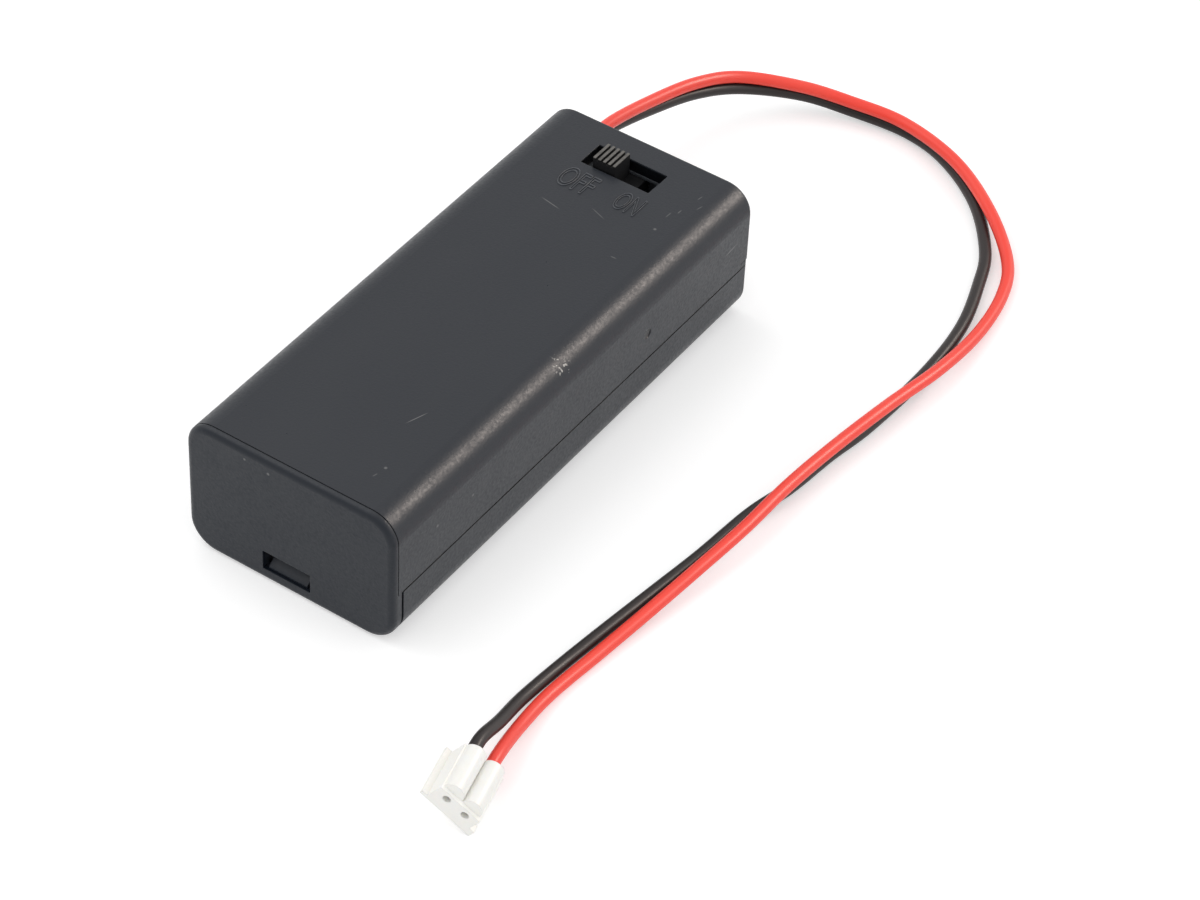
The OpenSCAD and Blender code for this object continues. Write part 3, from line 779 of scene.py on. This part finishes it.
@dataclass(frozen=True)
class Plug:
    """Place of the two-way plug: its middle, turned on the floor and rolled on its side."""

    middle_mm: Point = (33.1, -47.2, 3.7)
    yaw: float = 13.6
    roll: float = 38.4
    length_mm: float = 6.4
    pitch_mm: float = 2.5
    straight_mm: float = 2.5
    inside_mm: float = 1.0
    nodes: tuple[str, ...] = ("plug_housing", "plug_terminal_red", "plug_terminal_black")

    def turn(self) -> Matrix:
        """Rotation from the plug's own axes to the box's."""
        return (Matrix.Rotation(math.radians(self.yaw), 3, "Z")
                @ Matrix.Rotation(math.radians(self.roll), 3, "Y"))

    def line(self, way: Way, back_mm: float) -> Point:
        """Point on the line of one way, at a distance behind the plug's rear face."""
        local = Vector((way.value * self.pitch_mm / 2, self.length_mm / 2 + back_mm, 0))
        return tuple(self.turn() @ local + Vector(self.middle_mm))

    def entry(self, way: Way) -> tuple[Point, Point]:
        """Last two points of one way's wire: one behind the plug and one inside it."""
        return self.line(way, self.straight_mm), self.line(way, -self.inside_mm)


PLUG = Plug()
RED_ROUTE_MM = (
    (-0.15, 27.08, 8.3), (-3.8, 26.7, 7.9), (-6.6, 27.8, 8), (-8.6, 30, 8.8), (-9.7, 32.5, 9.8),
    (-10.3, 35.5, 10.2), (-11.2, 38.5, 9.9), (-11.8, 43, 9.2), (-11.25, 50.25, 7.9),
    (-9.75, 58, 6.6), (-7, 63.75, 5.3), (-1, 68.25, 3.9), (4.75, 70.5, 2.9), (12, 71.5, 2.4),
    (20.75, 68.75, 2.6), (28.5, 63.75, 2.2), (34.25, 58.25, 1.2), (36.75, 52.75, 0.9),
    (38, 45, 1.2), (38, 36.5, 2), (36.75, 27.75, 2.4), (35.5, 18.5, 2.4), (34.75, 10, 2.4),
    (34.5, 1.75, 2.3), (33.75, -5.75, 1.9), (32.75, -14, 1.3), (31.75, -21.75, 0.8),
    (31, -29.5, 0.8), (31.5, -35.75, 1.6), *PLUG.entry(Way.RED),
)
BLACK_ROUTE_MM = (
    (-8.575, 22.05, 8.68), (-9, 25.5, 8.2), (-10, 28.5, 8.2), (-10.9, 31.5, 8.6),
    (-10.9, 34.5, 8.8), (-11.8, 38.5, 8.4), (-12.5, 43.5, 7.5), (-11.5, 51, 6.2),
    (-9.75, 58.25, 4.9), (-6.75, 63.75, 3.7), (-1.25, 68.75, 2.2), (4.5, 71, 1.2), (12, 72, 0.8),
    (18.5, 70.25, 0.8), (25.5, 65.5, 0.8), (31, 58.75, 0.8), (33.5, 53, 0.8), (35.75, 45.25, 0.8),
    (36.5, 36, 0.8), (36, 25, 0.8), (35, 18.25, 0.8), (34.25, 11.25, 0.8), (33, 5, 0.8),
    (32.25, -3.5, 0.8), (31.25, -11.5, 0.8), (30.25, -19.5, 0.8), (29.5, -26.25, 0.8),
    (29.5, -32.75, 1.7), (30.25, -37.75, 3.1), *PLUG.entry(Way.BLACK),
)


@dataclass(frozen=True)
class Wire:
    """One free wire of the lead, from the box to the plug."""

    name: str
    node: str
    slot: Slot
    exit_mm: Point
    route_mm: tuple[Point, ...]
    diameter_mm: float = 1.5
    steps: int = 16
    sides: int = 20

    def build(self, group: TubeGroup, finish: bpy.types.Material,
              on_end: Sequence[str]) -> bpy.types.Object:
        """Args:
            group: Geometry Nodes group that sweeps the tube.
            finish: Material of the sleeve.
            on_end: Names of the pieces on its far end; not used.

        Returns:
            The wire.
        """
        path = smooth(self.route_mm, self.steps)
        piece = Tube(self.name, path, self.diameter_mm * MM / 2, self.sides).build(group, finish)
        length = sum((end - start).length for start, end in zip(path, path[1:]))
        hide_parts(self.node)
        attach(piece, HOLDER)
        [v * MM for v in self.exit_mm]
        self.diameter_mm * MM
        LOG.info("%s is %.0f mm long", self.name, length / MM)
        return piece


WIRES = (
    Wire("red_lead", "red_wire", Slot.RED_SLEEVE, (-10, 33.65, 10), RED_ROUTE_MM),
    Wire("black_lead", "black_wire", Slot.BLACK_SLEEVE, (-10.9, 33.65, 8.8), BLACK_ROUTE_MM),
)


# ------------------------------------------------------------------ springs and lettering


@dataclass(frozen=True)
class Spring:
    """A cone of round wire on a contact plate, closed at its base and at its tip."""

    name: str
    node: str
    axis_x_mm: float
    seat_y_mm: float
    facing: Facing
    axis_z_mm: float = 8.85
    wire_mm: float = 0.55
    length_mm: float = 6.5
    base_mm: float = 7.0
    tip_mm: float = 4.4
    clear_mm: float = 0.03
    turns_to_tip: float = 6.0
    flat_at_base: float = 0.9
    flat_at_tip: float = 0.75
    steps: int = 48
    sides: int = 12

    def rise(self, turn: float) -> float:
        """Share of the way from base to tip that the wire has climbed at a turn."""
        share = (turn - self.flat_at_base) / (self.turns_to_tip - self.flat_at_base)
        return min(max(share, 0.0), 1.0)

    def point(self, turn: float) -> Vector:
        """Centre of the wire at a turn.

        Args:
            turn: Turns from the start of the wire.

        Returns:
            The point, in metres.
        """
        shrink = min(turn, self.turns_to_tip) / self.turns_to_tip
        radius = (self.base_mm - self.wire_mm) / 2 - (self.base_mm - self.tip_mm) / 2 * shrink
        out = (self.wire_mm / 2 + self.clear_mm
               + self.rise(turn) * (self.length_mm - self.wire_mm))
        angle, ahead = math.tau * turn, self.facing.value
        return Vector((self.axis_x_mm + radius * math.cos(angle), self.seat_y_mm + ahead * out,
                       self.axis_z_mm - ahead * radius * math.sin(angle))) * MM

    def build(self, group: TubeGroup, finish: bpy.types.Material) -> bpy.types.Object:
        """Winds the spring over its CAD solid.

        Args:
            group: Geometry Nodes group that sweeps the tube.
            finish: Material of the wire.

        Returns:
            The spring.
        """
        count = int((self.turns_to_tip + self.flat_at_tip) * self.steps) + 1
        path = [self.point(step / self.steps) for step in range(count)]
        piece = Tube(self.name, path, self.wire_mm * MM / 2, self.sides).build(group, finish)
        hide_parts(self.node)
        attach(piece, HOLDER)
        return piece


@dataclass(frozen=True)
class Contacts:
    """The two springs, one for each cell, on the plates that carry them."""

    cell_x_mm: float = 6.375
    plate_mm: float = 0.3

    def build(self, group: TubeGroup, finish: bpy.types.Material) -> None:
        """Winds both springs.

        Args:
            group: Geometry Nodes group that sweeps a tube.
            finish: Material of the springs.
        """
        rear_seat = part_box("negative_plate")[0].y / MM
        front_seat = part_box("bridge_plate")[0].y / MM + self.plate_mm
        for spring in (
            Spring("negative_coil", "negative_spring", -self.cell_x_mm, rear_seat, Facing.FRONT),
            Spring("bridge_coil", "bridge_spring", self.cell_x_mm, front_seat, Facing.REAR),
        ):
            spring.build(group, finish)


@dataclass(frozen=True)
class Word:
    """Raised outline lettering on the top face, between two corners."""

    text: str
    low_mm: Span
    high_mm: Span
    stroke_mm: float = 0.24
    bead: float = 0.02
    bead_steps: int = 3

    def outline(self, finish: bpy.types.Material) -> bpy.types.Object:
        """Draws the outlines of the letters as round beads, one unit high.

        Args:
            finish: Material of the lettering.

        Returns:
            The mesh object, not yet in its place.
        """
        name = "word_" + self.text.lower()
        text = bpy.data.curves.new(name, "FONT")
        text.body = self.text
        text.size = 1.0
        text.fill_mode = "NONE"
        text.bevel_depth = self.bead
        text.bevel_resolution = self.bead_steps
        text.materials.append(finish)
        host = bpy.data.objects.new(name + "_line", text)
        bpy.context.scene.collection.objects.link(host)
        return settled(host, name)

    def build(self, finish: bpy.types.Material, top_z: float) -> bpy.types.Object:
        """Makes the word and fits its mesh between the corners, half sunk in the top face.

        Args:
            finish: Material of the lettering.
            top_z: Height of the top face, in metres.

        Returns:
            The word.
        """
        piece = self.outline(finish)
        verts = piece.data.vertices
        low = [min(v.co[i] for v in verts) for i in range(3)]
        high = [max(v.co[i] for v in verts) for i in range(3)]
        for vert in verts:
            x, y = ((vert.co[i] - low[i]) / (high[i] - low[i]) for i in range(2))
            z = (vert.co.z - low[2]) / (high[2] - low[2]) - 0.5
            vert.co = ((self.low_mm[0] + x * (self.high_mm[0] - self.low_mm[0])) * MM,
                       (self.low_mm[1] + y * (self.high_mm[1] - self.low_mm[1])) * MM,
                       top_z + z * self.stroke_mm * MM)
        for face in piece.data.polygons:
            face.use_smooth = True
        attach(piece, HOLDER)
        return piece


WORDS = (
    Word("OFF", (-5.3, 21.4), (-0.9, 25.0)),
    Word("ON", (2.15, 21.7), (5.3, 24.95)),
)


# ------------------------------------------------------------------ stage


@dataclass(frozen=True)
class View:
    """The main camera."""

    azimuth: float = 32.5905
    elevation: float = 43.3366
    roll: float = 2.9831
    distance: float = 0.43344
    target: Point = (0.0188968, -0.0036688, 0.009)
    lens: float = 121.110
    sensor: float = 36.0
    nearest: float = 0.01
    farthest: float = 20.0

    def build(self) -> bpy.types.Object:
        """Places the camera and makes it the scene's own.

        Returns:
            The camera.
        """
        azimuth, elevation, roll = map(math.radians, (self.azimuth, self.elevation, self.roll))
        level = math.cos(elevation)
        back = Vector((math.sin(azimuth) * level, -math.cos(azimuth) * level, math.sin(elevation)))
        right = Vector((math.cos(azimuth), math.sin(azimuth), 0))
        up = back.cross(right)
        right, up = (math.cos(roll) * right + math.sin(roll) * up,
                     math.cos(roll) * up - math.sin(roll) * right)
        data = bpy.data.cameras.new("camera")
        data.lens = self.lens
        data.sensor_width = self.sensor
        data.clip_start = self.nearest
        data.clip_end = self.farthest
        camera = bpy.data.objects.new("camera", data)
        turn = Matrix((right, up, back)).transposed().to_4x4()
        camera.matrix_world = Matrix.Translation(Vector(self.target) + back * self.distance) @ turn
        bpy.context.scene.collection.objects.link(camera)
        bpy.context.scene.camera = camera
        return camera


def seen_or_mirrored(nodes: Nodes) -> Signal:
    """Tells what the camera sees from what only lights the object.

    Args:
        nodes: Tree to add the signal to.

    Returns:
        Signal that is 1 for what the camera sees, directly or in a gloss or a clear piece.
    """
    path = nodes.add("ShaderNodeLightPath")
    seen, gloss, clear = (Signal(nodes, path.outputs[name])
                          for name in ("Is Camera Ray", "Is Glossy Ray", "Is Transmission Ray"))
    return (seen + gloss + clear).smallest(1.0)


@dataclass(frozen=True)
class Floor:
    """Wide pale floor that shows white and keeps the shadow of what stands on it."""

    half: float = 3.0
    drop: float = 0.00002
    colour: Colour = (0.80, 0.80, 0.80)
    cloud: Colour = (0.79, 0.79, 0.79)
    cloud_mm: float = 400.0
    roughness: float = 0.9
    glow: float = 0.39

    def material(self) -> bpy.types.Material:
        """Makes the floor's material.

        Returns:
            The material, which glows a little for the camera and lights nothing.
        """
        made = Surface("pale_floor", self.colour, self.roughness)
        made.give("Specular IOR Level", 0.0)
        made.tint(made.noise(self.cloud_mm), self.cloud)
        glow = made.add("ShaderNodeEmission", sockets={
            "Color": WHITE, "Strength": self.glow * seen_or_mirrored(made)})
        both = made.add("ShaderNodeAddShader",
                        sockets={0: made.shader.outputs[0], 1: glow.outputs[0]})
        made.feed(made.tree.nodes["Material Output"].inputs["Surface"], both.outputs[0])
        return made.material

    def build(self) -> None:
        """Lays the floor."""
        half = self.half
        mesh = bpy.data.meshes.new("floor")
        mesh.from_pydata([(-half, -half, 0), (half, -half, 0), (half, half, 0), (-half, half, 0)],
                         [], [(0, 1, 2, 3)])
        mesh.materials.append(self.material())
        floor = bpy.data.objects.new("floor", mesh)
        floor.location.z = -self.drop
        bpy.context.scene.collection.objects.link(floor)
        LOG.info("floor is %.0f m wide", 2 * half)


@dataclass(frozen=True)
class Lamp:
    """A soft rectangular light aimed at the box."""

    name: str
    place: Point
    wide: float
    high: float
    watts: float
    tint: Colour = (1.0, 1.0, 1.0)
    lights_matt: bool = True
    lights_gloss: bool = True

    def build(self) -> None:
        """Hangs the lamp and turns it to the box."""
        data = bpy.data.lights.new(self.name, "AREA")
        data.shape = "RECTANGLE"
        data.size = self.wide
        data.size_y = self.high
        data.energy = self.watts
        data.color = self.tint
        lamp = bpy.data.objects.new(self.name, data)
        lamp.visible_diffuse = self.lights_matt
        lamp.visible_glossy = self.lights_gloss
        lamp.location = self.place
        lamp.rotation_euler = (-Vector(self.place)).to_track_quat("-Z", "Y").to_euler()
        bpy.context.scene.collection.objects.link(lamp)
        LOG.info("%s gives %.1f W", self.name, self.watts)


LAMPS = (
    Lamp("softbox_left", (-0.45, -0.10, 0.70), 0.60, 0.60, 1.4),
    Lamp("softbox_right", (0.75, 0.10, 0.35), 0.50, 0.50, 0.8),
    Lamp("softbox_front", (-0.15, -0.75, 0.40), 0.60, 0.60, 0.6, lights_gloss=False),
    Lamp("strip_behind", (0.472, 0.56, 0.547), 0.50, 0.24, 6.4, (1.0, 0.88, 0.79),
         lights_matt=False),
)


@dataclass(frozen=True)
class Surroundings:
    """Even white surroundings, plain white to the camera and weaker on the object."""

    light: float = 0.80

    def build(self) -> None:
        """Makes the world."""
        world = bpy.data.worlds.new("surroundings")
        bpy.context.scene.world = world
        world.use_nodes = True
        nodes = Nodes(world.node_tree)
        back = world.node_tree.nodes["Background"]
        nodes.feed(back.inputs["Color"], WHITE)
        nodes.feed(back.inputs["Strength"],
                   self.light + (1.0 - self.light) * seen_or_mirrored(nodes))


# ------------------------------------------------------------------ assembly


def make_finishes() -> dict[Slot, bpy.types.Material]:
    """Makes the material of every slot.

    Returns:
        The materials, by slot.
    """
    finishes = {
        Slot.BOX: BoxFinish(top_z=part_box("body_shell")[1].z),
        Slot.KNOB: KnobFinish(top_z=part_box("switch_knob")[1].z),
        Slot.STEEL: STEEL,
        Slot.CASE_STEEL: CASE_STEEL,
        Slot.BRASS: BRASS,
        Slot.PHENOLIC: PHENOLIC,
        Slot.SOLDER: SOLDER,
        Slot.RED_SLEEVE: RED_SLEEVE,
        Slot.BLACK_SLEEVE: BLACK_SLEEVE,
        Slot.PLUG: NylonFinish(),
    }
    return {slot: finish.material() for slot, finish in finishes.items()}


def dress(materials: dict[Slot, bpy.types.Material]) -> None:
    """Gives each CAD node the material of its record slot.

    Args:
        materials: Materials by slot.
    """
    slots = {part["node"]: Slot(part["material_slot"]) for part in frame["record"]["subparts"]}
    for node, piece in frame["nodes"].items():
        piece.data.materials.clear()
        piece.data.materials.append(materials[slots[node]])
        LOG.info("%s wears %s", node, slots[node].value)


def main() -> None:
    """Builds the camera, the finishes, the lead, the springs, the words and the stage."""
    logging.basicConfig(level=logging.INFO, format="%(name)s: %(message)s")
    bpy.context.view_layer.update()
    bpy.context.scene.view_settings.view_transform = "Standard"
    View().build()

    materials = make_finishes()
    group = TubeGroup()
    for wire in WIRES:
        wire.build(group, materials[wire.slot], PLUG.nodes)
    dress(materials)
    Contacts().build(group, materials[Slot.STEEL])
    for word in WORDS:
        word.build(materials[Slot.BOX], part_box("body_shell")[1].z)

    Floor().build()
    for lamp in LAMPS:
        lamp.build()
    Surroundings().build()


if __name__ == "__main__":
    main()
